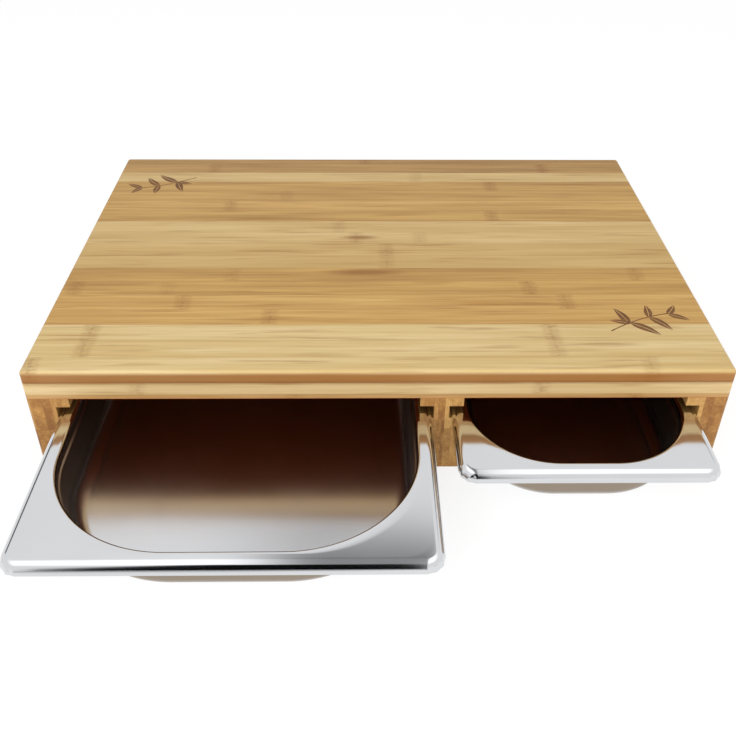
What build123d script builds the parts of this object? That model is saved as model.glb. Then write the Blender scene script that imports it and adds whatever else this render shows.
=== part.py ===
"""Bamboo cutting board that stands over two steel gastronorm trays.

Two walls, a back board and a doubled divider carry a three-ply board. Each tray hangs by its
turned-down rim in the grooves of two rails, and slides out at the front (towards -Y).
The origin is on the table, at the middle of the back board's underside.
"""

from build123d import *
from math import ceil, cos, radians, sin, tan
import os

# ---- Driving dimensions, in millimetres (angles in degrees) ----

# Pressed steel trays: gastronorm 1/2 and 1/3, both 40 mm deep
tray_length = 325.0
tray_depth = 40.0
large_tray_width = 265.0
small_tray_width = 176.0
sheet = 0.8
rim_width = 12.0
rim_drop = 7.5
rim_edge_radius = 6.0
rim_corner_radius = 12.0
large_basin_corner = 85.0
small_basin_corner = 58.0
mouth_radius = 2.0
shoulder_drop = 8.0
shoulder_step = 1.5
shoulder_height = 1.0
basin_draft = 4.0
floor_radius = 12.0

# Flat bands that each round of the sheet is made of
mouth_bands = 1
rim_edge_bands = 3
floor_bands = 3

# How far each tray is drawn out of the board
large_tray_drawn = 146.0
small_tray_drawn = 72.5

# Running clearances of a tray in the board
tray_side_clearance = 1.5
tray_seat_clearance = 0.2
tray_lift_clearance = 3.3
tray_back_clearance = 1.0
tray_front_recess = 7.0
table_clearance = 16.0

# Bamboo base
side_wall_thickness = 17.0
back_board_thickness = 17.0
divider_core_thickness = 5.0
rail_web = 3.0
groove_depth = 10.0
rail_lip = 7.5
rail_edge_radius = 0.8

# Three-ply board, glued up from staves that run along X
top_ply = 10.0
middle_ply = 10.0
bottom_ply = 4.0
stave_width = 20.0
front_stave_width = 16.7
top_edge_radius = 3.0
corner_radius = 3.0
seam_bevel = 0.4

# Beech tongues, glued into stopped grooves
tongue_thickness = 5.0
tongue_depth = 8.0
tongue_room = 0.1
level_tongue_stop = 30.0
upright_tongue_stop = 12.0

# ---- Sizes and places that follow ----

large_bay = large_tray_width + 2 * tray_side_clearance
small_bay = small_tray_width + 2 * tray_side_clearance
rail_thickness = rail_web + groove_depth
board_width = (
    2 * side_wall_thickness + 4 * rail_web + divider_core_thickness + large_bay + small_bay
)
board_depth = tray_front_recess + tray_length + tray_back_clearance + back_board_thickness

back_face = back_board_thickness / 2
back_board_front = -back_board_thickness / 2
front_face = back_face - board_depth
wall_face = board_width / 2 - side_wall_thickness

rim_height = table_clearance + tray_depth
groove_floor = rim_height - rim_drop - tray_seat_clearance
groove_ceiling = rim_height + tray_lift_clearance
base_height = groove_ceiling + rail_lip
board_top = base_height + bottom_ply + middle_ply + top_ply

large_bay_left = -wall_face + rail_web
large_bay_right = large_bay_left + large_bay
core_left = large_bay_right + rail_web
core_right = core_left + divider_core_thickness
small_bay_left = core_right + rail_web
small_bay_right = small_bay_left + small_bay

closed_tray_middle = back_board_front - tray_back_clearance - tray_length / 2
stave_count = ceil((board_depth - front_stave_width) / stave_width) + 1
stave_seams = [
    front_face + front_stave_width + i * stave_width for i in range(stave_count - 1)
]


# ---- Shapes ----


def upright_block(left, right, front, back, bottom, top):
    """A plain board between six planes."""
    size = (right - left, back - front, top - bottom)
    middle = ((left + right) / 2, (front + back) / 2, (bottom + top) / 2)
    return Pos(*middle) * Box(*size)


def slab(bottom, top):
    """A full-size sheet of the board, its four upright corners rounded."""
    outline = Pos(0, (front_face + back_face) / 2, bottom) * RectangleRounded(
        board_width, board_depth, corner_radius
    )
    return extrude(outline, top - bottom)


def level_edges(shape, height):
    """The edges that lie wholly at one height."""
    tolerance = seam_bevel / 10
    return shape.edges().filter_by_position(Axis.Z, height - tolerance, height + tolerance)


# ---- Tongues, each as the middle and the size of its block ----

side_middle = board_width / 2 - side_wall_thickness / 2
core_middle = (core_left + core_right) / 2
tongue_reach = 2 * tongue_depth
upright_tongue_height = base_height - 2 * upright_tongue_stop
wall_tongue_length = board_depth - 2 * level_tongue_stop
core_tongue_length = back_board_front - front_face - level_tongue_stop
wall_tongue_blocks = [
    (
        (side * side_middle, (front_face + back_face) / 2, base_height),
        (tongue_thickness, wall_tongue_length, tongue_reach),
    )
    for side in (-1, 1)
]
back_tongue_block = (
    (0, 0, base_height),
    (2 * (wall_face - level_tongue_stop), tongue_thickness, tongue_reach),
)
corner_tongue_blocks = [
    (
        (side * wall_face, 0, base_height / 2),
        (tongue_reach, tongue_thickness, upright_tongue_height),
    )
    for side in (-1, 1)
]
core_top_block = (
    (core_middle, back_board_front - core_tongue_length / 2, base_height),
    (divider_core_thickness, core_tongue_length, tongue_reach),
)
core_rear_block = (
    (core_middle, back_board_front, base_height / 2),
    (divider_core_thickness, tongue_reach, upright_tongue_height),
)
blocks_into_board = wall_tongue_blocks + [back_tongue_block, core_top_block]


def tongue(block):
    """The solid of a tongue."""
    middle, size = block
    return Pos(*middle) * Box(*size)


def grooved(shape, blocks):
    """The shape with a groove for each tongue, with glue room all round it."""
    for middle, size in blocks:
        shape = shape - Pos(*middle) * Box(*[side + 2 * tongue_room for side in size])
    return shape


# ---- Sub-parts ----


def top_slab():
    """The upper ply: a round-over above, a small bevel along the glue line below."""
    blank = slab(board_top - top_ply, board_top)
    blank = fillet(level_edges(blank, board_top), top_edge_radius)
    return chamfer(level_edges(blank, board_top - top_ply), seam_bevel)


def middle_slab():
    """The middle ply, grooved for the tongues below it."""
    bottom = base_height + bottom_ply
    return grooved(slab(bottom, bottom + middle_ply), blocks_into_board)


def bottom_sheet():
    """The thin ply under the board, slotted for the tongues that pass through it."""
    return grooved(slab(base_height, base_height + bottom_ply), blocks_into_board)


def staves(blank, name):
    """A ply cut into its staves, numbered from the front."""
    cut = {}
    box = blank.bounding_box()
    fronts = [front_face] + stave_seams
    backs = stave_seams + [back_face]
    for number, (front, back) in enumerate(zip(fronts, backs), start=1):
        strip = upright_block(box.min.X, box.max.X, front, back, box.min.Z, box.max.Z)
        cut[f"{name}_{number:02d}"] = blank & strip
    return cut


def side_wall(side):
    """An outer wall; its two outer upright edges follow the board's round corners."""
    inner, outer = sorted((side * wall_face, side * board_width / 2))
    blank = upright_block(inner, outer, front_face, back_face, 0, base_height)
    outer_edges = blank.edges().filter_by(Axis.Z).sort_by(Axis.X, reverse=side > 0)[:2]
    blank = fillet(outer_edges, corner_radius)
    return grooved(blank, wall_tongue_blocks + corner_tongue_blocks)


def back_board():
    """The board between the walls that closes both bays and stops the trays."""
    blank = upright_block(-wall_face, wall_face, back_board_front, back_face, 0, base_height)
    return grooved(blank, [back_tongue_block, core_rear_block] + corner_tongue_blocks)


def divider_core():
    """The thin board between the two inner rails; its own tongues enter the board above and
    the back board."""
    core = upright_block(core_left, core_right, front_face, back_board_front, 0, base_height)
    return core + tongue(core_top_block) + tongue(core_rear_block)


def rail(web_side, opens):
    """A grooved rail board. web_side is its glued face; opens is +1 where the groove faces +X."""
    lip_face = web_side + opens * rail_thickness
    groove_wall = web_side + opens * rail_web
    with BuildSketch(Plane.XZ.offset(-front_face)) as profile:
        with BuildLine():
            Polyline(
                (web_side, 0),
                (lip_face, 0),
                (lip_face, groove_floor),
                (groove_wall, groove_floor),
                (groove_wall, groove_ceiling),
                (lip_face, groove_ceiling),
                (lip_face, base_height),
                (web_side, base_height),
                close=True,
            )
        make_face()
        lip_corners = [
            v
            for v in profile.vertices()
            if abs(v.X - lip_face) < rail_edge_radius and groove_floor <= v.Z <= groove_ceiling
        ]
        fillet(lip_corners, rail_edge_radius)
    return extrude(profile.sketch, front_face - back_board_front)


def bend(centre, radius, first, last, bands):
    """Points of an arc, from one angle to another; 0 points inwards and 90 downwards."""
    angles = [radians(first + (last - first) * i / bands) for i in range(bands + 1)]
    return [(centre[0] + radius * cos(a), centre[1] + radius * sin(a)) for a in angles]


def basin_profile():
    """A pressed basin's outer skin as (inset, depth) points, from the rim's underside to the
    floor: the bend at the mouth, an upright band, the stacking shoulder, the drafted wall
    and the round at the floor."""
    draft = radians(basin_draft)
    shoulder_end = shoulder_drop + shoulder_height
    centre_depth = tray_depth - floor_radius
    wall_inset = shoulder_step + (centre_depth - shoulder_end) * tan(draft)
    centre_inset = wall_inset + floor_radius / cos(draft)
    mouth_centre = (-mouth_radius, mouth_radius + sheet)
    floor_centre = (centre_inset, centre_depth)
    mouth_bend = bend(mouth_centre, mouth_radius, -90, 0, mouth_bands)
    floor_bend = bend(floor_centre, floor_radius, 180 - basin_draft, 90, floor_bands)
    shoulder = [(0, shoulder_drop), (shoulder_step, shoulder_end)]
    return mouth_bend + shoulder + floor_bend


def rim_profile():
    """The rim's upper skin as (inset, depth) points, from its flat top to its lower edge."""
    edge_centre = (rim_edge_radius, rim_edge_radius)
    edge_bend = bend(edge_centre, rim_edge_radius, -90, -180, rim_edge_bands)
    return edge_bend + [(0, rim_drop)]


def moved_in(profile, distance, run_before, run_after):
    """The profile moved sideways by a distance, to its inner side, its corners mitred.
    The two runs are the directions in which the sheet goes on at the profile's ends."""
    points = [Vector(*p) for p in profile]
    runs = [(b - a).normalized() for a, b in zip(points, points[1:])]
    moved = []
    for point, before, after in zip(points, [run_before] + runs, runs + [run_after]):
        normals = Vector(before.Y + after.Y, -before.X - after.X)
        shift = normals * (distance / (1 + before.dot(after)))
        moved.append((point.X + shift.X, point.Y + shift.Y))
    return moved


def stacked(width, length, corner, profile):
    """The solid through a rounded outline at each (inset, depth) of a profile."""
    outlines = [
        Pos(0, 0, -depth)
        * RectangleRounded(width - 2 * inset, length - 2 * inset, corner - inset)
        for inset, depth in profile
    ]
    return loft(outlines, ruled=True)


def tray(width, corner, middle_x, drawn):
    """A pressed tray: flat rim with rolled edges, stacking shoulder, drafted basin."""
    mouth = (width - 2 * rim_width, tray_length - 2 * rim_width, corner)
    rim = (width, tray_length, rim_corner_radius)
    inwards, outwards, downwards = Vector(1, 0), Vector(-1, 0), Vector(0, 1)
    top_skin = rim_profile()
    under_skin = moved_in(top_skin, sheet, outwards, downwards)
    outer_skin = basin_profile()
    inner_skin = moved_in(outer_skin, sheet, inwards, inwards)
    shell = stacked(*rim, top_skin) - stacked(*rim, under_skin)
    shell = shell + stacked(*mouth, outer_skin)
    shell = shell - stacked(*mouth, inner_skin)
    return Pos(middle_x, closed_tray_middle - drawn, rim_height) * shell


# ---- The assembly, one node to each name ----

pieces = {}
pieces.update(staves(top_slab(), "top_stave"))
pieces.update(staves(middle_slab(), "middle_stave"))
pieces["bottom_ply"] = bottom_sheet()
pieces["left_wall"] = side_wall(-1)
pieces["right_wall"] = side_wall(1)
pieces["back_board"] = back_board()
pieces["divider_core"] = divider_core()
pieces["large_bay_wall_rail"] = rail(-wall_face, 1)
pieces["large_bay_divider_rail"] = rail(core_left, -1)
pieces["small_bay_divider_rail"] = rail(core_right, 1)
pieces["small_bay_wall_rail"] = rail(wall_face, -1)
pieces["wall_tongues"] = Compound([tongue(block) for block in wall_tongue_blocks])
pieces["back_tongue"] = tongue(back_tongue_block)
pieces["corner_tongues"] = Compound([tongue(block) for block in corner_tongue_blocks])
pieces["large_tray"] = tray(
    large_tray_width,
    large_basin_corner,
    (large_bay_left + large_bay_right) / 2,
    large_tray_drawn,
)
pieces["small_tray"] = tray(
    small_tray_width,
    small_basin_corner,
    (small_bay_left + small_bay_right) / 2,
    small_tray_drawn,
)

os.makedirs("parts", exist_ok=True)
for name, piece in pieces.items():
    export_step(piece, f"parts/{name}.step")
    print(name, "volume", round(piece.volume, 1), "mm3")
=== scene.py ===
# %% [markdown]
# # A bamboo cutting board over two steel trays
#
# The real object is a thick board glued up from bamboo staves. It stands on two walls, a divider
# and a back board, and two pressed steel trays hang by their rims in grooves underneath. The wood
# is already there as exact solids, so this lesson gives it a finish. The trays are made again as
# smooth pressed sheet, because polished steel shows every facet.
#
# The first cell loads the solids. Everything is in metres: X to the right, Y to the back, Z up,
# and the table is at Z = 0.

# %% Load the solids
import math

import bpy
import numpy as np
from mathutils import Matrix, Vector


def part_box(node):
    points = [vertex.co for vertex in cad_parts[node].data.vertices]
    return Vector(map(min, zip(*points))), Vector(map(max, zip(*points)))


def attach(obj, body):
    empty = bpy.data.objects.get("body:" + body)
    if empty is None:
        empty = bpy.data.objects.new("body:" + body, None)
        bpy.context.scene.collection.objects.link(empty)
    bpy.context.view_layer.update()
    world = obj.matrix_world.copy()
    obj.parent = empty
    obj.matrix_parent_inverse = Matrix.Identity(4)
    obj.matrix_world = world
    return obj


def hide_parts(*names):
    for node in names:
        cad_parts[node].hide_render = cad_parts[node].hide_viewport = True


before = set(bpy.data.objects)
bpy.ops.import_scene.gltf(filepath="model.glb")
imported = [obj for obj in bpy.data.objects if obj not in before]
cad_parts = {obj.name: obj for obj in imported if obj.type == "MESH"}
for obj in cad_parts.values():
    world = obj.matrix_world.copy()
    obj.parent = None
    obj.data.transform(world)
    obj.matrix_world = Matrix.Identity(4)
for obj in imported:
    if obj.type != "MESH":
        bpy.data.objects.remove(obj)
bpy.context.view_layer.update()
mm = 0.001
print("solids loaded:", len(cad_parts))

# %% [markdown]
# ## Three small helpers
#
# Colours are picked on a screen as sRGB hex, but a renderer adds light up, so it needs them linear.
# Node trees are long lists of the same step, so one function makes a node, sets its settings and
# fills or links its sockets. A third one starts a material.

# %% Helpers


def linear(hex_colour):
    """sRGB hex to linear RGBA: a channel c above 0.04045 becomes ((c + 0.055) / 1.055) ^ 2.4,
    and a darker one c / 12.92."""
    srgb = np.array([int(hex_colour[i : i + 2], 16) for i in (1, 3, 5)]) / 255
    rgb = np.where(srgb > 0.04045, ((srgb + 0.055) / 1.055) ** 2.4, srgb / 12.92)
    return (*rgb.tolist(), 1.0)


def add(tree, kind, inputs=None, **settings):
    """A new node. Each input is a value, or another node's output to link."""
    node = tree.nodes.new("ShaderNode" + kind)
    for name, value in settings.items():
        setattr(node, name, value)
    for socket, value in (inputs or {}).items():
        if isinstance(value, bpy.types.NodeSocket):
            tree.links.new(value, node.inputs[socket])
        else:
            node.inputs[socket].default_value = value
    return node


def start_material(name):
    """A material with an empty tree but for its shader and output."""
    material = bpy.data.materials.new(name)
    material.use_nodes = True
    tree = material.node_tree
    tree.nodes.clear()
    shader = add(tree, "BsdfPrincipled")
    add(tree, "OutputMaterial", {"Surface": shader.outputs["BSDF"]})
    return material, tree, shader


# %% [markdown]
# ## The camera
#
# The photograph was taken from in front and above, a little left of the middle. The camera's
# place, its three angles and its focal length were fitted to the board's edges in the picture,
# so the render can be laid over it. The principal point isn't quite in the middle of the
# picture, which a small lens shift takes up.

# %% Camera
picture_pixels = 736
focal_pixels = 871.97
principal_pixel = (373.51, 324.53)
camera_place = Vector((-12.99, -815.02, 463.48)) * mm
pitch_down, yaw_right, roll = 0.6129, 0.0174, -0.0085

sight = Vector(
    (
        math.sin(yaw_right) * math.cos(pitch_down),
        math.cos(yaw_right) * math.cos(pitch_down),
        -math.sin(pitch_down),
    )
)
level_right = Vector((math.cos(yaw_right), -math.sin(yaw_right), 0))
level_down = sight.cross(level_right)
right = math.cos(roll) * level_right + math.sin(roll) * level_down
down = math.cos(roll) * level_down - math.sin(roll) * level_right

lens = bpy.data.cameras.new("camera")
lens.sensor_width = 36
lens.lens = focal_pixels / picture_pixels * lens.sensor_width
lens.shift_x = 0.5 - principal_pixel[0] / picture_pixels
lens.shift_y = principal_pixel[1] / picture_pixels - 0.5
camera = bpy.data.objects.new("camera", lens)
axes = Matrix((right, -down, -sight)).transposed()
camera.matrix_world = Matrix.Translation(camera_place) @ axes.to_4x4()
bpy.context.scene.collection.objects.link(camera)
bpy.context.scene.camera = camera
bpy.context.scene.view_settings.view_transform = "Standard"
print("focal length", round(lens.lens, 2), "mm")

# %% [markdown]
# ## What the steel sees
#
# Polished steel looks like whatever stands around it, so the surroundings that it mirrors matter
# more than the lamps. A photographer's studio is white softboxes with gaps of dark room between
# them, and a softbox overhead that is brighter than the rest. Each gap here is a soft-edged patch
# of the sky, given by where its middle is. The one above the camera draws the dark line along the
# front rims. The overhead light is two softboxes side by side, and the dimmer aisle between them
# greys the right half of the large tray's front. Wood sees only a plain white sky, and the
# camera sees white.

# %% World
soft_light = 0.62
overhead_light = 1.6
overhead_rise = (46.0, 64.0)
dark_room = "#060607"

# The aisle between the overhead softboxes: its middle as the sideways part of a direction, how
# far from there it is full and gone, the degrees up between which it comes in, its darkness.
aisle_middle = 0.01
aisle_reach = (0.06, 0.17)
aisle_rise = (46.5, 50.5)
aisle_darkness = 0.80

# Degrees to the right of the front, and up. Half width and half height. Soft edge. Darkness.
room_gaps = (
    ((-6, 25), (11, 30), 7, 1.0),
    ((152, 27), (9, 4), 4, 0.9),
    ((-141, 24), (10, 5), 4, 0.9),
)


def gap_share(tree, direction, elevation, gap):
    """How far a direction lies in a gap, from 0 to 1: the product of two smooth steps, one of
    the angle to the side and one of the angle up."""
    (side, up), (half_width, half_height), soft, darkness = gap
    turned = add(
        tree,
        "VectorRotate",
        {"Vector": direction, "Angle": -math.radians(side)},
        rotation_type="Z_AXIS",
    )
    parts = add(tree, "SeparateXYZ", {0: turned.outputs[0]})
    front = add(tree, "Math", {0: parts.outputs["Y"], 1: -1.0}, operation="MULTIPLY")
    azimuth = add(
        tree, "Math", {0: parts.outputs["X"], 1: front.outputs[0]}, operation="ARCTAN2"
    )
    azimuth = add(tree, "Math", {0: azimuth.outputs[0]}, operation="DEGREES").outputs[0]
    climb = add(tree, "Math", {0: elevation, 1: up}, operation="SUBTRACT").outputs[0]
    share = darkness
    for angle, half in ((azimuth, half_width), (climb, half_height)):
        size = add(tree, "Math", {0: angle}, operation="ABSOLUTE").outputs[0]
        inside = add(
            tree,
            "MapRange",
            {0: size, 1: half + soft, 2: half},
            interpolation_type="SMOOTHSTEP",
        ).outputs[0]
        share = add(tree, "Math", {0: inside, 1: share}, operation="MULTIPLY").outputs[0]
    return share


def aisle_share(tree, direction, elevation):
    """How far a direction lies in the aisle, from 0 to 1: the product of two smooth steps, one
    of its sideways part and one of the angle up."""
    side = add(tree, "SeparateXYZ", {0: direction}).outputs["X"]
    side = add(tree, "Math", {0: side, 1: aisle_middle}, operation="SUBTRACT").outputs[0]
    side = add(tree, "Math", {0: side}, operation="ABSOLUTE").outputs[0]
    full, gone = aisle_reach
    across = add(
        tree,
        "MapRange",
        {0: side, 1: gone, 2: full, 3: 0.0, 4: aisle_darkness},
        interpolation_type="SMOOTHSTEP",
    ).outputs[0]
    start, end = aisle_rise
    above = add(
        tree, "MapRange", {0: elevation, 1: start, 2: end}, interpolation_type="SMOOTHSTEP"
    ).outputs[0]
    return add(tree, "Math", {0: across, 1: above}, operation="MULTIPLY").outputs[0]


def surroundings():
    """The sky: white to the camera, softer white to matt things, and gapped to mirrors."""
    world = bpy.data.worlds.new("soft_studio")
    bpy.context.scene.world = world
    world.use_nodes = True
    tree = world.node_tree
    tree.nodes.clear()
    ray = add(tree, "LightPath")
    seen = add(
        tree,
        "Math",
        {0: ray.outputs["Is Camera Ray"], 1: ray.outputs["Is Transmission Ray"]},
        operation="MAXIMUM",
    )
    direction = add(tree, "TexCoord").outputs["Generated"]
    height = add(tree, "SeparateXYZ", {0: direction}).outputs["Z"]
    slope = add(tree, "Math", {0: height}, operation="ARCSINE")
    elevation = add(tree, "Math", {0: slope.outputs[0]}, operation="DEGREES").outputs[0]
    share = aisle_share(tree, direction, elevation)
    for gap in room_gaps:
        here = gap_share(tree, direction, elevation, gap)
        share = add(tree, "Math", {0: here, 1: share}, operation="MAXIMUM").outputs[0]
    patch = add(
        tree,
        "Mix",
        {0: share, 6: (1, 1, 1, 1), 7: linear(dark_room)},
        data_type="RGBA",
    ).outputs[2]
    start, end = overhead_rise
    strength = add(
        tree,
        "MapRange",
        {0: elevation, 1: start, 2: end, 3: 1.0, 4: overhead_light},
        interpolation_type="SMOOTHSTEP",
    )
    plain = add(tree, "Background", {"Color": (1, 1, 1, 1), "Strength": soft_light})
    mirrored = add(tree, "Background", {"Color": patch, "Strength": strength.outputs[0]})
    white = add(tree, "Background", {"Color": (1, 1, 1, 1)})
    unseen = add(
        tree,
        "MixShader",
        {0: ray.outputs["Is Glossy Ray"], 1: plain.outputs[0], 2: mirrored.outputs[0]},
    )
    both = add(tree, "MixShader", {0: seen.outputs[0], 1: unseen.outputs[0], 2: white.outputs[0]})
    add(tree, "OutputWorld", {"Surface": both.outputs[0]})
    print("gaps in the sky:", len(room_gaps))


surroundings()

# %% [markdown]
# ## Lamps and floor
#
# Three soft lamps model the edges a little, and the lowest one lights the fronts. The floor is
# white paper on a table. It glows a little for the camera, so that it reads as white and still
# takes the object's shadow. Mirrors see where the table ends under the camera, which carries the
# dark line a little lower.

# %% Lamps and floor
floor_glow = 0.80
table_end = (-0.18, -1.90)
table_end_reach = (0.52, 1.30)
table_end_fade = (0.8, 1.1)
floor_reach = 6.0
paper_white, paper_under_glow = "#e6e6e6", "#8c8c8c"

# Place and side in metres, and watts.
softboxes = {
    "key_softbox": ((-0.75, -1.45, 1.25), 1.2, 13.6),
    "fill_softbox": ((1.0, -1.3, 1.0), 1.2, 6.2),
    "front_softbox": ((0.0, -2.0, 0.35), 1.0, 9.5),
}
lamps_look_at = (0, -0.2, 0.05)


def softbox(name, place, side, watts):
    """A square lamp that looks at the board."""
    lamp = bpy.data.lights.new(name, "AREA")
    lamp.shape = "SQUARE"
    lamp.size = side
    lamp.energy = watts
    holder = bpy.data.objects.new(name, lamp)
    holder.location = place
    sight_line = Vector(lamps_look_at) - Vector(place)
    holder.rotation_euler = sight_line.to_track_quat("-Z", "Y").to_euler()
    holder.visible_glossy = False
    bpy.context.scene.collection.objects.link(holder)


def paper_floor():
    """A wide sheet of paper. For the camera and for mirrors it adds a glow to its shading."""
    mesh = bpy.data.meshes.new("floor")
    sides = ((-1, -1), (1, -1), (1, 1), (-1, 1))
    corners = [(x * floor_reach, y * floor_reach, 0) for x, y in sides]
    mesh.from_pydata(corners, [], [(0, 1, 2, 3)])
    floor = bpy.data.objects.new("floor", mesh)
    bpy.context.scene.collection.objects.link(floor)
    material = bpy.data.materials.new("white_paper")
    material.use_nodes = True
    tree = material.node_tree
    tree.nodes.clear()
    ray = add(tree, "LightPath")
    camera_or_mirror = add(
        tree,
        "Math",
        {0: ray.outputs["Is Camera Ray"], 1: ray.outputs["Is Glossy Ray"]},
        operation="MAXIMUM",
    )
    shown = add(
        tree,
        "Math",
        {0: camera_or_mirror.outputs[0], 1: ray.outputs["Is Transmission Ray"]},
        operation="MAXIMUM",
    )
    from_end = add(
        tree,
        "Mapping",
        {
            "Vector": add(tree, "TexCoord").outputs["Object"],
            "Location": (*table_end, 0),
            "Scale": (*table_end_reach, 1),
        },
        vector_type="TEXTURE",
    )
    distance = add(tree, "VectorMath", {0: from_end.outputs[0]}, operation="LENGTH")
    dark, bright = table_end_fade
    lit = add(
        tree,
        "MapRange",
        {0: distance.outputs["Value"], 1: dark, 2: bright},
        interpolation_type="SMOOTHSTEP",
    )
    lit_or_seen = add(
        tree,
        "Math",
        {0: lit.outputs[0], 1: ray.outputs["Is Camera Ray"]},
        operation="MAXIMUM",
    )
    strength = add(
        tree, "Math", {0: lit_or_seen.outputs[0], 1: floor_glow}, operation="MULTIPLY"
    )
    paper = add(tree, "BsdfDiffuse", {"Color": linear(paper_white)})
    thin_paper = add(tree, "BsdfDiffuse", {"Color": linear(paper_under_glow)})
    glow = add(tree, "Emission", {"Color": (1, 1, 1, 1), "Strength": strength.outputs[0]})
    glowing = add(tree, "AddShader", {0: thin_paper.outputs[0], 1: glow.outputs[0]})
    both = add(
        tree, "MixShader", {0: shown.outputs[0], 1: paper.outputs[0], 2: glowing.outputs[0]}
    )
    add(tree, "OutputMaterial", {"Surface": both.outputs[0]})
    mesh.materials.append(material)


paper_floor()
for lamp_name, lamp_settings in softboxes.items():
    softbox(lamp_name, *lamp_settings)
print("lamps:", len(bpy.data.lights))

# %% [markdown]
# ## Bamboo
#
# Bamboo has no rings. It is a bundle of dark fibres in pale pith, so a planed strip shows fine
# straight streaks, and every 20 to 40 cm a knuckle crosses it as a brown feathered smudge with a
# thin ridge line. Oil turns it golden. The fibres keep to one direction, so three noises are
# stretched along it: broad bands, streaks and single fibres. On a strip's end the same noises
# are cut across and show the fibre ends as dots, with nothing more to do.
#
# A board that is glued up from strips in two directions is one solid here, so its material cuts
# the place into cells as wide and as high as a strip, and shifts tone, grain and knuckles by a
# random amount for each cell.

# %% Bamboo patterns

# Length and width of each pattern's grain in mm, and its part in the tone.
fibre_patterns = {
    "bands": ((190, 13), 0.52),
    "streaks": ((110, 2.4), 0.30),
    "fibres": ((40, 0.6), 0.18),
}
stray_streaks = (75, 4.2)
knuckle_feathers = (5.0, 1.3)
knuckle_bends = (400, 9.0)
knuckle_bend_reach = 1.2

# A smudge and a ridge line: where each is gone and where it is full, in mm, and its share.
knuckle_parts = (((8.5, 3.0), 0.46), ((1.8, 0.4), 0.22))
knuckle_spacing = 270.0
strip_knuckle_strength = 0.8
knuckle_colour = "#8a5519"
streak_colour = "#94601f"
glue_colour = "#6b3f14"
glue_line_share = 0.17

# How far the patterns jump, in mm, from one seed to the next and between strips.
seed_jump = (613.0, 37.0, 19.0)
strip_jump = (900.0, 90.0, 90.0)


def stretched_noise(tree, place, length, width, detail=2.0):
    """Noise that is stretched along the fibres: its grain is length by width by width, in mm."""
    scaled = add(
        tree, "VectorMath", {0: place, 1: (1 / length, 1 / width, 1 / width)}, operation="MULTIPLY"
    )
    noise = add(tree, "TexNoise", {"Vector": scaled.outputs[0], "Scale": 1.0, "Detail": detail})
    return noise.outputs["Fac"]


def knuckle_mark(tree, offset, feather, strength):
    """A knuckle, from 0 to 1: the sum of a smudge and a faint ridge line, both broken up by the
    feathered ends of the fibres."""
    distance = add(tree, "Math", {0: offset}, operation="ABSOLUTE").outputs[0]
    mark = 0.0
    for (gone, full), part in knuckle_parts:
        line = add(
            tree,
            "MapRange",
            {0: distance, 1: gone, 2: full, 3: 0.0, 4: part * strength},
            interpolation_type="SMOOTHSTEP",
        ).outputs[0]
        mark = add(tree, "Math", {0: line, 1: mark}, operation="ADD", use_clamp=True).outputs[0]
    patchy = add(tree, "MapRange", {0: feather, 1: 0.36, 2: 0.60, 3: 0.25, 4: 1.0}).outputs[0]
    return add(tree, "Math", {0: mark, 1: patchy}, operation="MULTIPLY").outputs[0]


def patch_share(tree, along, patch):
    """How far a place lies in a long dark patch: a smooth step of its distance from the middle,
    counted in half lengths and half widths."""
    (patch_x, patch_y), (half_length, half_width) = patch
    from_patch = add(
        tree,
        "Mapping",
        {
            "Vector": along,
            "Location": (patch_x, patch_y, 0),
            "Scale": (half_length, half_width, 1e6),
        },
        vector_type="TEXTURE",
    )
    distance = add(tree, "VectorMath", {0: from_patch.outputs[0]}, operation="LENGTH")
    return add(
        tree,
        "MapRange",
        {0: distance.outputs["Value"], 1: 1.1, 2: 0.2, 3: 0.0, 4: 0.75},
        interpolation_type="SMOOTHSTEP",
    ).outputs[0]


def strip_noise(tree, along, width, height, seed):
    """A random value and colour for each strip of a glued-up board: white noise of the cell
    that a place lies in, whose number is the place over the strip's size, rounded down."""
    cell = add(
        tree, "VectorMath", {0: along, 1: (1e-6, 1 / width, 1 / height)}, operation="MULTIPLY"
    )
    cell = add(
        tree, "VectorMath", {0: cell.outputs[0], 1: (seed + 0.5, seed, seed)}, operation="ADD"
    )
    cell = add(tree, "VectorMath", {0: cell.outputs[0]}, operation="FLOOR")
    return add(tree, "TexWhiteNoise", {"Vector": cell.outputs[0]}, noise_dimensions="3D")


# %% [markdown]
# The material puts these together in the order in which the wood got them: the tone of the strip
# from its fibres, stray dark streaks, a patch, the knuckles, then bands by height and the glue
# lines between strips. The bands are a stain on the bottom ply's underside, a browner cut edge on
# the top ply, and painted shade along the seam between the plies. The same fibres roughen the
# surface a little.

# %% Bamboo material


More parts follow.
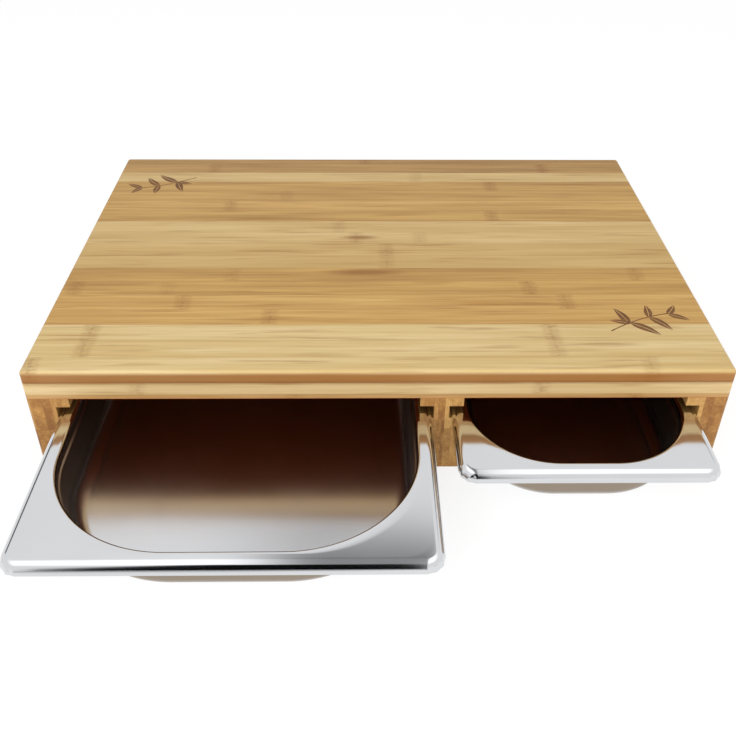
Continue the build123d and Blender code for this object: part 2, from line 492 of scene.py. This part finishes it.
def bamboo(
    name, pale, deep, seed, turn=0.0, knuckles=(), edges=(), strip=None, stains_and_shade=(), patch=None
):
    """Oiled bamboo, planed and sanded: satin, streaked along its fibres.

    Fibres run along X, turned by an angle about Z. A knuckle is (place, strength), and edges are
    the glued sides of a stave, all in mm. A strip is (width, height, tone difference) and makes
    a glued-up board. A band by height, which is a stain or painted shade at a seam, is (heights in
    mm from none to all, its share, its colour), and a patch is a long dark spot: (its middle, its
    half length and half width)."""
    material, tree, shader = start_material(name)
    place = add(tree, "TexCoord").outputs["Object"]
    along = add(
        tree,
        "Mapping",
        {"Vector": place, "Rotation": (0, 0, turn), "Scale": (1000, 1000, 1000)},
    ).outputs[0]
    axes = add(tree, "SeparateXYZ", {0: along})
    moved = tuple(seed * step for step in seed_jump)
    own = add(tree, "VectorMath", {0: along, 1: moved}).outputs[0]
    borders = [(axes.outputs["Y"], edge) for edge in edges]
    shift = None
    if strip is not None:
        width, height, difference = strip
        random = strip_noise(tree, along, width, height, seed)
        jump = add(
            tree, "VectorMath", {0: random.outputs["Color"], 1: strip_jump}, operation="MULTIPLY"
        )
        own = add(tree, "VectorMath", {0: own, 1: jump.outputs[0]}, operation="ADD").outputs[0]
        shift = add(
            tree, "MapRange", {0: random.outputs["Value"], 3: -difference, 4: difference}
        ).outputs[0]

    total = None
    noises = {}
    for pattern, ((length, breadth), part) in fibre_patterns.items():
        noises[pattern] = stretched_noise(tree, own, length, breadth)
        noise = add(tree, "Math", {0: noises[pattern], 1: part}, operation="MULTIPLY").outputs[0]
        total = noise if total is None else add(tree, "Math", {0: total, 1: noise}).outputs[0]
    if shift is not None:
        total = add(tree, "Math", {0: total, 1: shift}).outputs[0]
    grain = add(tree, "MapRange", {0: total, 1: 0.37, 2: 0.63}).outputs[0]
    colour = add(
        tree, "Mix", {0: grain, 6: linear(pale), 7: linear(deep)}, data_type="RGBA"
    ).outputs[2]

    stray = stretched_noise(tree, own, *stray_streaks)
    stray = add(tree, "MapRange", {0: stray, 1: 0.56, 2: 0.76, 3: 0.0, 4: 0.5}).outputs[0]
    colour = add(
        tree, "Mix", {0: stray, 6: colour, 7: linear(streak_colour)}, data_type="RGBA"
    ).outputs[2]
    if patch is not None:
        share = patch_share(tree, along, patch)
        colour = add(
            tree, "Mix", {0: share, 6: colour, 7: linear(knuckle_colour)}, data_type="RGBA"
        ).outputs[2]

    feather = stretched_noise(tree, own, *knuckle_feathers, detail=3.0)
    bend = stretched_noise(tree, own, *knuckle_bends)
    bend = add(
        tree,
        "MapRange",
        {0: bend, 1: 0.3, 2: 0.7, 3: -knuckle_bend_reach, 4: knuckle_bend_reach},
    ).outputs[0]
    bent = add(tree, "Math", {0: axes.outputs["X"], 1: bend}).outputs[0]
    offsets = [
        (add(tree, "Math", {0: bent, 1: at}, operation="SUBTRACT").outputs[0], strength)
        for at, strength in knuckles
    ]
    if strip is not None:
        phase = add(
            tree,
            "Math",
            {0: random.outputs["Value"], 1: knuckle_spacing * 7.0},
            operation="MULTIPLY",
        )
        shifted = add(tree, "Math", {0: bent, 1: phase.outputs[0]}).outputs[0]
        period = add(
            tree, "Math", {0: shifted, 1: knuckle_spacing / 2}, operation="PINGPONG"
        ).outputs[0]
        offsets.append((period, strip_knuckle_strength))
    for offset, strength in offsets:
        mark = knuckle_mark(tree, offset, feather, strength)
        colour = add(
            tree, "Mix", {0: mark, 6: colour, 7: linear(knuckle_colour)}, data_type="RGBA"
        ).outputs[2]

    # Bands by height: real stains, a browner edge, and painted shade along the seam between the
    # plies.
    for heights, part, band_colour in stains_and_shade:
        amount = add(
            tree,
            "MapRange",
            {0: axes.outputs["Z"], 1: heights[0], 2: heights[1], 3: 0.0, 4: part},
            interpolation_type="SMOOTHSTEP",
        ).outputs[0]
        colour = add(
            tree, "Mix", {0: amount, 6: colour, 7: linear(band_colour)}, data_type="RGBA"
        ).outputs[2]

    gaps = [
        add(
            tree,
            "Math",
            {0: add(tree, "Math", {0: axis, 1: edge}, operation="SUBTRACT").outputs[0]},
            operation="ABSOLUTE",
        ).outputs[0]
        for axis, edge in borders
    ]
    if strip is not None:
        gaps += [
            add(tree, "Math", {0: axes.outputs[axis], 1: size / 2}, operation="PINGPONG").outputs[0]
            for axis, size in (("Y", width), ("Z", height))
        ]
    for gap in gaps:
        line = add(
            tree,
            "MapRange",
            {0: gap, 1: 0.7, 2: 0.1, 3: 0.0, 4: glue_line_share},
            interpolation_type="SMOOTHSTEP",
        ).outputs[0]
        colour = add(
            tree, "Mix", {0: line, 6: colour, 7: linear(glue_colour)}, data_type="RGBA"
        ).outputs[2]

    roughness = add(tree, "MapRange", {0: noises["fibres"], 1: 0.3, 2: 0.7, 3: 0.42, 4: 0.56})
    bump = add(
        tree, "Bump", {"Height": noises["fibres"], "Strength": 0.25, "Distance": 0.15 * mm}
    )
    for socket, value in {
        "Base Color": colour,
        "Roughness": roughness.outputs[0],
        "Normal": bump.outputs[0],
    }.items():
        tree.links.new(value, shader.inputs[socket])
    shader.inputs["Specular IOR Level"].default_value = 0.4
    return material


def dress(node, material):
    """Gives a solid its material."""
    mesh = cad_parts[node].data
    mesh.materials.clear()
    mesh.materials.append(material)


def extent(node, axis):
    """A solid's lowest and highest place along an axis, in mm."""
    low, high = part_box(node)
    return low[axis] / mm, high[axis] / mm


# %% [markdown]
# ## The board's staves
#
# Each stave is one strip from one culm, so it has its own tone and its own knuckles. A stave's
# tone is one of six, and its knuckles stand where the picture shows them. Two neighbours that
# were split from the same culm share a knuckle. The top ply's cut edge is browner towards the
# glue line, and a band on either side of the glue line is darker: a dark glue line with painted
# shade of the groove between the plies.

# %% Staves
tones = {
    "pale": ("#dec590", "#cbab6c"),
    "cream": ("#d8ba80", "#c4a163"),
    "light_honey": ("#d3b174", "#bf9b5c"),
    "honey": ("#d6ad66", "#b78a48"),
    "golden": ("#cda45c", "#aa7f40"),
    "deep": ("#c19756", "#9b733b"),
}
top_staves = [
    ("pale", [(-243, 0.8), (190, 0.5)]),
    ("pale", [(-210, 0.7), (127, 0.6)]),
    ("pale", [(-210, 0.8), (127, 0.7)]),
    ("honey", [(-82, 0.7)]),
    ("honey", [(-150, 0.7), (145, 0.8)]),
    ("golden", [(-237, 0.7), (120, 0.8), (-165, 0.3)]),
    ("golden", [(-117, 0.4), (210, 0.6)]),
    ("light_honey", [(8, 0.5)]),
    ("light_honey", [(8, 0.6)]),
    ("cream", [(-17, 0.5), (38, 0.4)]),
    ("cream", [(-33, 0.4)]),
    ("golden", [(105, 0.9)]),
    ("honey", [(-133, 0.7)]),
    ("golden", [(-83, 0.5)]),
    ("golden", [(111, 0.9)]),
    ("cream", [(40, 0.4)]),
    ("deep", [(-158, 0.8), (168, 0.9)]),
    ("deep", [(-8, 0.9)]),
]

# Middle, half length and half width of a stave's dark patch, in mm.
dark_patches = {7: ((-10, -211.5), (40, 6)), 10: ((-14, -154), (20, 4))}
# The first colour browns the top ply's cut edge from 6 mm above the glue line down. The second
# darkens a band a few mm on either side of the glue line: a dark glue line with painted shade of
# the groove between the plies.
edge_lower_brown, seam_glue_and_painted_shade = "#9a5d1a", "#8a5420"
glue_height, board_top = extent("top_stave_02", 2)
for number, (tone, knuckles) in enumerate(top_staves, start=1):
    node = f"top_stave_{number:02d}"
    finish = bamboo(
        f"oiled_bamboo_top_{number:02d}",
        *tones[tone],
        seed=number,
        knuckles=knuckles,
        edges=extent(node, 1),
        stains_and_shade=[
            ((glue_height + 9.8, glue_height + 6.0), 0.82, edge_lower_brown),
            # Painted shade of the groove between the plies, with the glue line: darker just above
            # the seam.
            ((glue_height + 2.8, glue_height + 0.4), 0.45, seam_glue_and_painted_shade),
        ],
        patch=dark_patches.get(number),
    )
    dress(node, finish)
print("top staves dressed:", len(top_staves))

front_knuckles = [(-169, 0.5), (114, 0.6)]
middle_tones = ("#e3c996", "#d0b078")
for number in range(1, len(top_staves) + 1):
    node = f"middle_stave_{number:02d}"
    finish = bamboo(
        f"oiled_bamboo_middle_{number:02d}",
        *middle_tones,
        seed=40 + number,
        knuckles=front_knuckles if number == 1 else [(61.0 * number % 400 - 200, 0.5)],
        edges=extent(node, 1),
        # Painted shade of the groove between the plies, with the glue line: darker just below the
        # seam.
        stains_and_shade=[((glue_height - 2.2, glue_height - 0.4), 0.45, seam_glue_and_painted_shade)],
    )
    dress(node, finish)

# %% [markdown]
# ## The base
#
# The walls, rails and back board are steamed bamboo, which browns the strips to caramel all
# through. They are glued up from strips 5 to 9 mm thick and 20 to 40 mm high. Those of the walls
# and rails run from front to back, so their front ends show as tall narrow bricks. The lower ply
# is tan on its cut edge, and a red oil has darkened its underside, which the trays mirror.

# %% Base
quarter_turn = math.pi / 2
underside, _ = extent("bottom_ply", 2)
dress(
    "bottom_ply",
    bamboo(
        "oiled_bamboo_bottom_ply",
        "#c9a26a",
        "#ae8550",
        seed=71,
        knuckles=[(-60, 0.5), (181, 0.6)],
        stains_and_shade=[((underside + 0.5, underside + 0.1), 0.97, "#ad4f1b")],
    ),
)
caramel = ("#bd8c4a", "#8a5a28")
light_caramel = ("#c99c5a", "#a07036")
boards = {
    "left_wall": (caramel, (8.5, 38.0, 0.09)),
    "right_wall": (caramel, (8.5, 34.0, 0.09)),
    "divider_core": (caramel, (5.0, 36.0, 0.10)),
    "large_bay_wall_rail": (light_caramel, (6.5, 40.0, 0.08)),
    "large_bay_divider_rail": (light_caramel, (6.5, 36.0, 0.08)),
    "small_bay_divider_rail": (light_caramel, (6.5, 38.0, 0.08)),
    "small_bay_wall_rail": (light_caramel, (6.5, 34.0, 0.08)),
}
for number, (node, (tone, strip)) in enumerate(boards.items()):
    finish = bamboo(
        "steamed_bamboo_" + node, *tone, seed=81 + number, turn=quarter_turn, strip=strip
    )
    dress(node, finish)
back_strip = (8.5, 20.0, 0.12)
dress("back_board", bamboo("steamed_bamboo_back_board", *caramel, seed=90, strip=back_strip))
beech = ("#d8b68c", "#b98f62")
for number, tongue in enumerate(("wall_tongues", "back_tongue", "corner_tongues")):
    dress(tongue, bamboo("planed_beech_" + tongue, *beech, seed=100 + number))
print("base boards dressed:", len(boards) + 1)

# %% [markdown]
# ## Burned sprigs
#
# Two corners of the board carry a mark that was burned in with a hot stamp. Here each is a plain
# sprig of bamboo leaves. A burned mark is flush, so each stroke is a film a twentieth of a
# millimetre high that lies on the staves: a lens-shaped section carried along a bent line.

# %% Sprigs
film = 0.05
stroke_steps, section_steps = 26, 12


def stroke(start, heading, length, bend, half_width, shift):
    """A film along a bent line, as a closed tube.

    Its middle line starts at a point and turns evenly by the bend over its length. The half
    width w is a function of the share s of the length, the shift moves the line sideways by a
    function of s, and the section at an angle a is (w cos a, film times the positive part of
    sin a)."""
    share = np.linspace(0, 1, stroke_steps)
    angle = heading + bend * share
    step = length / (stroke_steps - 1)
    run = np.stack([np.cos(angle), np.sin(angle)], 1)
    middle = np.array(start) + np.concatenate([[(0, 0)], np.cumsum(run[:-1] * step, 0)])
    side = np.stack([-run[:, 1], run[:, 0]], 1)
    middle = middle + side * shift(share)[:, None]
    around = np.linspace(0, 2 * math.pi, section_steps, endpoint=False)
    across = half_width(share)[:, None] * np.cos(around)[None]
    level = middle[:, None] + side[:, None] * across[..., None]
    height = np.broadcast_to(film * np.clip(np.sin(around), 0, 1), across.shape)
    points = np.concatenate([level, height[..., None]], 2).reshape(-1, 3)
    row, column = np.meshgrid(
        np.arange(stroke_steps - 1), np.arange(section_steps), indexing="ij"
    )
    after = (column + 1) % section_steps
    below, above = row * section_steps, (row + 1) * section_steps
    quads = np.stack([below + column, above + column, above + after, below + after], -1)
    ends = [
        list(range(section_steps)),
        list(range(stroke_steps * section_steps - 1, (stroke_steps - 1) * section_steps - 1, -1)),
    ]
    return points, quads.reshape(-1, 4).tolist() + ends


def leaf(start, heading, length, width, bend):
    """Two halves of a leaf beside its rib. A half is as wide as half the leaf's width times
    sin(pi s^0.7) ^ 0.9, which is broad near the stem and long in the tip."""

    def half_width(share):
        return width / 4 * np.sin(math.pi * np.clip(share, 0.012, 0.985) ** 0.7) ** 0.9

    rib = 0.28
    return [
        stroke(start, heading, length, bend, half_width, lambda s, k=k: k * (half_width(s) + rib))
        for k in (-1, 1)
    ]


def burned_sprig(name, middle, turned, material):
    """A stem of three pieces and seven leaves, laid on the board. A piece's half width is a
    little larger at its ends: a constant plus 0.25 (2 s - 1)^8 mm."""
    strokes = []
    for start, heading, length, bend in (
        ((-25, -9), 0.62, 19, -0.10),
        ((-8.5, 1.6), 0.50, 18, -0.12),
        ((8.0, 9.2), 0.36, 16, -0.16),
    ):
        thick = 0.75 - 0.012 * length

        def half_width(share, thick=thick):
            return thick + 0.25 * (2 * share - 1) ** 8

        strokes.append(stroke(start, heading, length, bend, half_width, np.zeros_like))
    for start, heading, length, width, bend in (
        ((-9.5, 1.0), 1.75, 21, 6.4, 0.35),
        ((-8.0, 1.2), -0.55, 24, 6.8, -0.30),
        ((-8.6, 0.6), 2.75, 15, 5.0, 0.25),
        ((7.6, 9.0), 1.35, 16, 5.6, 0.30),
        ((8.0, 8.6), -0.75, 21, 6.2, -0.35),
        ((23.2, 13.0), 0.85, 14, 5.0, 0.30),
        ((23.4, 12.4), -0.35, 16, 5.4, -0.30),
    ):
        strokes += leaf(start, heading, length, width, bend)
    points, faces, count = [], [], 0
    for stroke_points, stroke_faces in strokes:
        points.append(stroke_points)
        faces += [[corner + count for corner in face] for face in stroke_faces]
        count += len(stroke_points)
    points = np.concatenate(points)
    cosine, sine = math.cos(turned), math.sin(turned)
    x, y = points[:, 0].copy(), points[:, 1].copy()
    points[:, 0] = middle[0] + cosine * x - sine * y
    points[:, 1] = middle[1] + sine * x + cosine * y
    points[:, 2] += board_top
    mesh = bpy.data.meshes.new(name)
    mesh.from_pydata((points * mm).tolist(), [], faces)
    mesh.shade_smooth()
    mesh.materials.append(material)
    sprig = bpy.data.objects.new(name, mesh)
    bpy.context.scene.collection.objects.link(sprig)
    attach(sprig, "board")
    print(name, "faces", len(mesh.polygons))


def scorched_bamboo(name):
    """Bamboo under a hot stamp: brown char, deeper in some fibres, quite dull."""
    material, tree, shader = start_material(name)
    place = add(tree, "TexCoord").outputs["Object"]
    along = add(tree, "Mapping", {"Vector": place, "Scale": (1000, 1000, 1000)}).outputs[0]
    char = stretched_noise(tree, along, 14.0, 0.9, detail=3.0)
    share = add(tree, "MapRange", {0: char, 1: 0.35, 2: 0.65}).outputs[0]
    colour = add(
        tree, "Mix", {0: share, 6: linear("#5c3815"), 7: linear("#85572a")}, data_type="RGBA"
    ).outputs[2]
    roughness = add(tree, "MapRange", {0: share, 3: 0.60, 4: 0.72}).outputs[0]
    tree.links.new(colour, shader.inputs["Base Color"])
    tree.links.new(roughness, shader.inputs["Roughness"])
    return material


scorch = scorched_bamboo("scorched_bamboo")
burned_sprig("burned_sprig_front", (196.7, -284.8), 0.0, scorch)
burned_sprig("burned_sprig_back", (-198.3, -44.8), math.pi, scorch)

# %% [markdown]
# ## Pressed steel trays
#
# A tray is one sheet of stainless steel, pressed in a die: a flat rim whose edge rolls down, a
# mouth with wide round corners, an upright band that ends in a small shoulder, so that stacked
# trays don't jam, a drafted wall and a round to the floor. Polished steel shows the smallest
# error in a surface, so the tray is worked out as a grid: a profile of the sheet, carried round
# the rim's outline and the mouth's outline at once.
#
# Where the rim turns its corner, the sheet has more metal than it needs, and it puckers into a
# few small creases.

# %% Tray surface
sheet = 0.8
rim_width = 12.0
rim_drop = 7.5
rim_edge_radius = 6.0
rim_corner_radius = 12.0
mouth_radius = 2.8
shoulder_drop = 8.0
shoulder_step = 1.5
shoulder_height = 1.0
basin_draft = math.radians(4)
floor_radius = 11.2
tray_depth = 40.0
corner_steps, side_steps = 40, 16
crease_count, crease_depth = 3, 0.45


def outline_walk():
    """Once round a rounded rectangle. Gives for each step the corner centre's signs, as two
    numbers from -1 to 1 that a straight side slides between, and the outward normal."""
    quarter = np.linspace(0, math.pi / 2, corner_steps, endpoint=False)
    slide = np.linspace(0, 1, side_steps, endpoint=False)
    corners = np.array([(1, 1), (-1, 1), (-1, -1), (1, -1)], float)
    centres, angles = [], []
    for number in range(4):
        here, after = corners[number], corners[(number + 1) % 4]
        centres += [np.repeat(here[None], corner_steps, 0)]
        centres += [here + (after - here) * slide[:, None]]
        angles += [quarter + number * math.pi / 2]
        angles += [np.full(side_steps, (number + 1) * math.pi / 2)]
    angles = np.concatenate(angles)
    return np.concatenate(centres), np.stack([np.cos(angles), np.sin(angles)], 1)


def sheet_profile():
    """The upper skin of the sheet from the rim's lower edge to the floor, as arrays of
    (blend, inset, depth): blend is 0 on the rim's outline and 1 on the mouth's, inset is how
    far inside that outline, and depth how far below the rim's top, in mm.

    The rolled edge and the mouth are quarter circles, the shoulder is half a cosine wave, and
    the floor's round is an arc that starts in line with the drafted wall."""
    turn = np.linspace(0, math.pi / 2, 18)
    skirt = np.linspace(rim_drop, rim_edge_radius, 3)[:-1]
    roll_inset = rim_edge_radius * (1 - np.cos(turn))
    roll_depth = rim_edge_radius * (1 - np.sin(turn))
    flat = np.linspace(0, 1, 7)[1:-1]
    mouth_turn = turn[::2]
    mouth_inset = sheet - mouth_radius * (1 - np.sin(mouth_turn))
    mouth_depth = mouth_radius * (1 - np.cos(mouth_turn))
    flat_inset = rim_edge_radius * (1 - flat) + (sheet - mouth_radius) * flat
    wave = np.linspace(0, 1, 9)
    step_inset = sheet + shoulder_step * (1 - np.cos(math.pi * wave)) / 2
    step_depth = shoulder_drop - shoulder_height / 2 + shoulder_height * 1.5 * wave
    wall_top = step_depth[-1]
    centre_depth = tray_depth - sheet - floor_radius
    wall_inset = sheet + shoulder_step + (centre_depth - wall_top) * math.tan(basin_draft)
    centre_inset = wall_inset + floor_radius / math.cos(basin_draft)
    dive = np.linspace(basin_draft, math.pi / 2, 18)
    floor_inset = centre_inset - floor_radius * np.cos(dive)
    floor_depth = centre_depth + floor_radius * np.sin(dive)
    wall = np.linspace(0, 1, 8)[1:-1]
    wall_insets = step_inset[-1] + (floor_inset[0] - step_inset[-1]) * wall
    wall_depths = wall_top + (floor_depth[0] - wall_top) * wall
    inset = np.concatenate(
        [skirt * 0, roll_inset, flat_inset, mouth_inset, step_inset, wall_insets, floor_inset]
    )
    depth = np.concatenate(
        [skirt, roll_depth, flat * 0, mouth_depth, step_depth, wall_depths, floor_depth]
    )
    on_rim = len(skirt) + len(roll_inset)
    blend = np.concatenate([np.zeros(on_rim), flat, np.ones(len(inset) - on_rim - len(flat))])
    return blend, inset, depth


def sheet_normals(blend, inset, depth):
    """Across the sheet from its upper skin to its lower one: the profile's direction, turned by
    a quarter. The rim and the mouth have outlines of their own, so each is turned by itself."""
    normals = np.zeros((len(inset), 2))
    for rows in (blend <= 0, blend >= 1):
        run = np.stack([np.gradient(inset[rows]), np.gradient(depth[rows])], 1)
        run /= np.linalg.norm(run, axis=1)[:, None]
        normals[rows] = np.stack([-run[:, 1], run[:, 0]], 1)
    normals[(blend > 0) & (blend < 1)] = (0, 1)
    return normals


def tray_points(width, length, corner, profile, walk):
    """The grid of points: row by profile, column by step round the outline.

    An outline point is the corner centre plus (corner radius - inset) times the normal. A row
    between the rim and the mouth mixes the two outlines by its blend."""
    blend, inset, depth = (part[:, None] for part in profile)
    signs, normals = walk
    rim_centres = signs * (np.array([width, length]) / 2 - rim_corner_radius)
    mouth_centres = signs * (np.array([width, length]) / 2 - rim_width - corner)
    rim_inset = np.where(blend >= 1, 0, np.where(blend > 0, rim_edge_radius, inset))
    mouth_inset = np.where(blend >= 1, inset, sheet - mouth_radius)
    rim_points = rim_centres[None] + (rim_corner_radius - rim_inset)[..., None] * normals[None]
    mouth_points = mouth_centres[None] + (corner - mouth_inset)[..., None] * normals[None]
    level = rim_points * (1 - blend[..., None]) + mouth_points * blend[..., None]
    height = np.repeat(-depth, len(signs), 1)
    return np.concatenate([level, height[..., None]], 2)


def puckered(points, depth, walk):
    """Creases in the rim's corners: the skirt is drawn in by a few raised cosines round each
    corner, which fade out towards the rim's top."""
    _, normals = walk
    angle = np.arctan2(normals[:, 1], normals[:, 0]) % (math.pi / 2)
    in_corner = (angle > 1e-6) & (angle < math.pi / 2 - 1e-6)
    wave = (1 - np.cos(angle / (math.pi / 2) * 2 * math.pi * crease_count)) / 2 * in_corner
    fade = np.clip((depth - 0.8) / 3.0, 0, 1)
    fade = fade * fade * (3 - 2 * fade)
    draw = -crease_depth * fade[:, None] * wave[None]
    points[..., :2] += draw[..., None] * normals[None]
    return points


def floor_rings(edge_row, count):
    """Rings that shrink from the floor's edge towards its middle, evenly."""
    share = np.linspace(1, 0, count + 1)[1:-1, None, None]
    rings = np.repeat(edge_row[None], count - 1, 0)
    rings[..., :2] *= share
    return rings


def pressed_tray(name, node, corner):
    """A whole tray as one closed mesh, in the place of its solid."""
    low, high = (np.array(corner_point) / mm for corner_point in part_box(node))
    width, length = (high - low)[:2]
    walk = outline_walk()
    blend, inset, depth = sheet_profile()
    normals = sheet_normals(blend, inset, depth)
    upper = tray_points(width, length, corner, (blend, inset, depth), walk)
    on_rim = blend <= 0
    lower_inset = inset + sheet * normals[:, 0]
    lower_depth = depth + sheet * normals[:, 1]
    lower = tray_points(width, length, corner, (blend, lower_inset, lower_depth), walk)
    upper[on_rim] = puckered(upper[on_rim], depth[on_rim], walk)
    lower[on_rim] = puckered(lower[on_rim], depth[on_rim], walk)
    rings = 6
    upper = np.concatenate([upper, floor_rings(upper[-1], rings)])
    lower = np.concatenate([lower, floor_rings(lower[-1], rings)])
    grid = np.concatenate([upper[::-1], lower])
    rows, columns = grid.shape[:2]
    middle = (low + high) / 2
    points = grid.reshape(-1, 3)
    poles = np.array([(0, 0, upper[-1, 0, 2]), (0, 0, lower[-1, 0, 2])])
    points = np.concatenate([points, poles]) + (middle[0], middle[1], high[2])
    row, column = np.meshgrid(np.arange(rows - 1), np.arange(columns), indexing="ij")
    after = (column + 1) % columns
    quads = np.stack(
        [
            row * columns + column,
            row * columns + after,
            (row + 1) * columns + after,
            (row + 1) * columns + column,
        ],
        -1,
    ).reshape(-1, 4)
    around = np.arange(columns)
    after = (around + 1) % columns
    top_pole, bottom_pole = rows * columns, rows * columns + 1
    top_fan = np.stack([np.full(columns, top_pole), after, around], 1)
    last = (rows - 1) * columns
    bottom_fan = np.stack([np.full(columns, bottom_pole), last + around, last + after], 1)
    faces = quads.tolist() + top_fan.tolist() + bottom_fan.tolist()
    mesh = bpy.data.meshes.new(name)
    mesh.from_pydata((points * mm).tolist(), [], faces)
    mesh.shade_smooth()
    mesh.set_sharp_from_angle(angle=math.radians(50))
    tray = bpy.data.objects.new(name, mesh)
    bpy.context.scene.collection.objects.link(tray)
    print(name, "faces", len(mesh.polygons))
    return tray


# %% [markdown]
# ## Stainless steel
#
# Stainless sheet for pans is rolled bright, and the drawing die rubs the basin duller than the
# rim. It is a metal, so its colour is its reflection's colour. On the basin's walls that colour
# is darker and browner, as painted shade under the board. The blur changes in faint patches
# and fine scratches.

# %% Steel material
rim_roughness = 0.10
floor_roughness = 0.21
wall_roughness = 0.34
rim_greys = ("#d0d1d4", "#d9dadc")
# The walls' grey, darker and browner than the rim's, is painted shade inside the basin under the
# board.
wall_shade_grey = "#9a8d7e"

# In mm: how far below the rim the basin's finish begins and is full, how far above the floor
# the walls' does, and the sizes of a scratch and of a patch.
mouth_fade = (1.5, 4.0)
floor_fade = (1.0, 9.0)
scratch_length, scratch_width = 60, 0.5
patch_size = 45


def pressed_steel(name, node):
    """Stainless steel: a grey mirror, bright on the rim, satin on the basin's floor and duller
    on its walls, which the die has rubbed. The walls' colour is darker and browner too: painted
    shade inside the basin under the board. The basin is what lies below the mouth and inside a
    rectangle that runs along the middle of the rim."""
    low, high = (np.array(corner_point) / mm for corner_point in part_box(node))
    half = (high - low) / 2 - (rim_edge_radius + rim_width) / 2
    middle = (low + high) / 2
    rim_top, floor_top = high[2], low[2] + sheet
    material, tree, shader = start_material(name)
    place = add(tree, "TexCoord").outputs["Object"]
    from_middle = add(
        tree,
        "Mapping",
        {
            "Vector": place,
            "Location": (middle[0] * mm, middle[1] * mm, 0),
            "Scale": (half[0] * mm, half[1] * mm, 1),
        },
        vector_type="TEXTURE",
    )
    share = add(tree, "VectorMath", {0: from_middle.outputs[0]}, operation="ABSOLUTE")
    share = add(tree, "SeparateXYZ", {0: share.outputs[0]})
    farthest = add(
        tree, "Math", {0: share.outputs["X"], 1: share.outputs["Y"]}, operation="MAXIMUM"
    ).outputs[0]
    inside = add(tree, "Math", {0: farthest, 1: 1.0}, operation="LESS_THAN").outputs[0]
    in_mm = add(tree, "Mapping", {"Vector": place, "Scale": (1000, 1000, 1000)}).outputs[0]
    scratches = stretched_noise(tree, in_mm, scratch_length, scratch_width)
    patches = stretched_noise(tree, in_mm, patch_size, patch_size)
    height = add(tree, "SeparateXYZ", {0: place}).outputs["Z"]
    below_mouth = add(
        tree,
        "MapRange",
        {0: height, 1: (rim_top - mouth_fade[0]) * mm, 2: (rim_top - mouth_fade[1]) * mm},
        interpolation_type="SMOOTHSTEP",
    ).outputs[0]
    below_mouth = add(tree, "Math", {0: below_mouth, 1: inside}, operation="MULTIPLY").outputs[0]
    above_floor = add(
        tree,
        "MapRange",
        {0: height, 1: (floor_top + floor_fade[0]) * mm, 2: (floor_top + floor_fade[1]) * mm},
        interpolation_type="SMOOTHSTEP",
    ).outputs[0]
    on_wall = add(tree, "Math", {0: below_mouth, 1: above_floor}, operation="MULTIPLY").outputs[0]
    base = add(
        tree, "MapRange", {0: below_mouth, 3: rim_roughness, 4: floor_roughness}
    ).outputs[0]
    base = add(tree, "Mix", {0: on_wall, 2: base, 3: wall_roughness}, data_type="FLOAT").outputs[0]
    change = add(tree, "MapRange", {0: patches, 1: 0.3, 2: 0.7, 3: 0.94, 4: 1.06}).outputs[0]
    roughness = add(tree, "Math", {0: base, 1: change}, operation="MULTIPLY").outputs[0]
    colour = add(
        tree,
        "Mix",
        {0: patches, 6: linear(rim_greys[0]), 7: linear(rim_greys[1])},
        data_type="RGBA",
    ).outputs[2]
    # Painted shade: the basin's walls turn to the darker, browner wall grey.
    colour = add(
        tree, "Mix", {0: on_wall, 6: colour, 7: linear(wall_shade_grey)}, data_type="RGBA"
    ).outputs[2]
    bump = add(tree, "Bump", {"Height": scratches, "Strength": 0.02, "Distance": 0.01 * mm})
    for socket, value in {
        "Base Color": colour,
        "Roughness": roughness,
        "Normal": bump.outputs[0],
    }.items():
        tree.links.new(value, shader.inputs[socket])
    shader.inputs["Metallic"].default_value = 1.0
    return material


large_basin_corner, small_basin_corner = 85.0, 58.0
for body, corner in (("large_tray", large_basin_corner), ("small_tray", small_basin_corner)):
    tray = pressed_tray("pressed_" + body, body, corner)
    tray.data.materials.append(pressed_steel("pressed_stainless_steel_" + body, body))
    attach(tray, body)
    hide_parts(body)
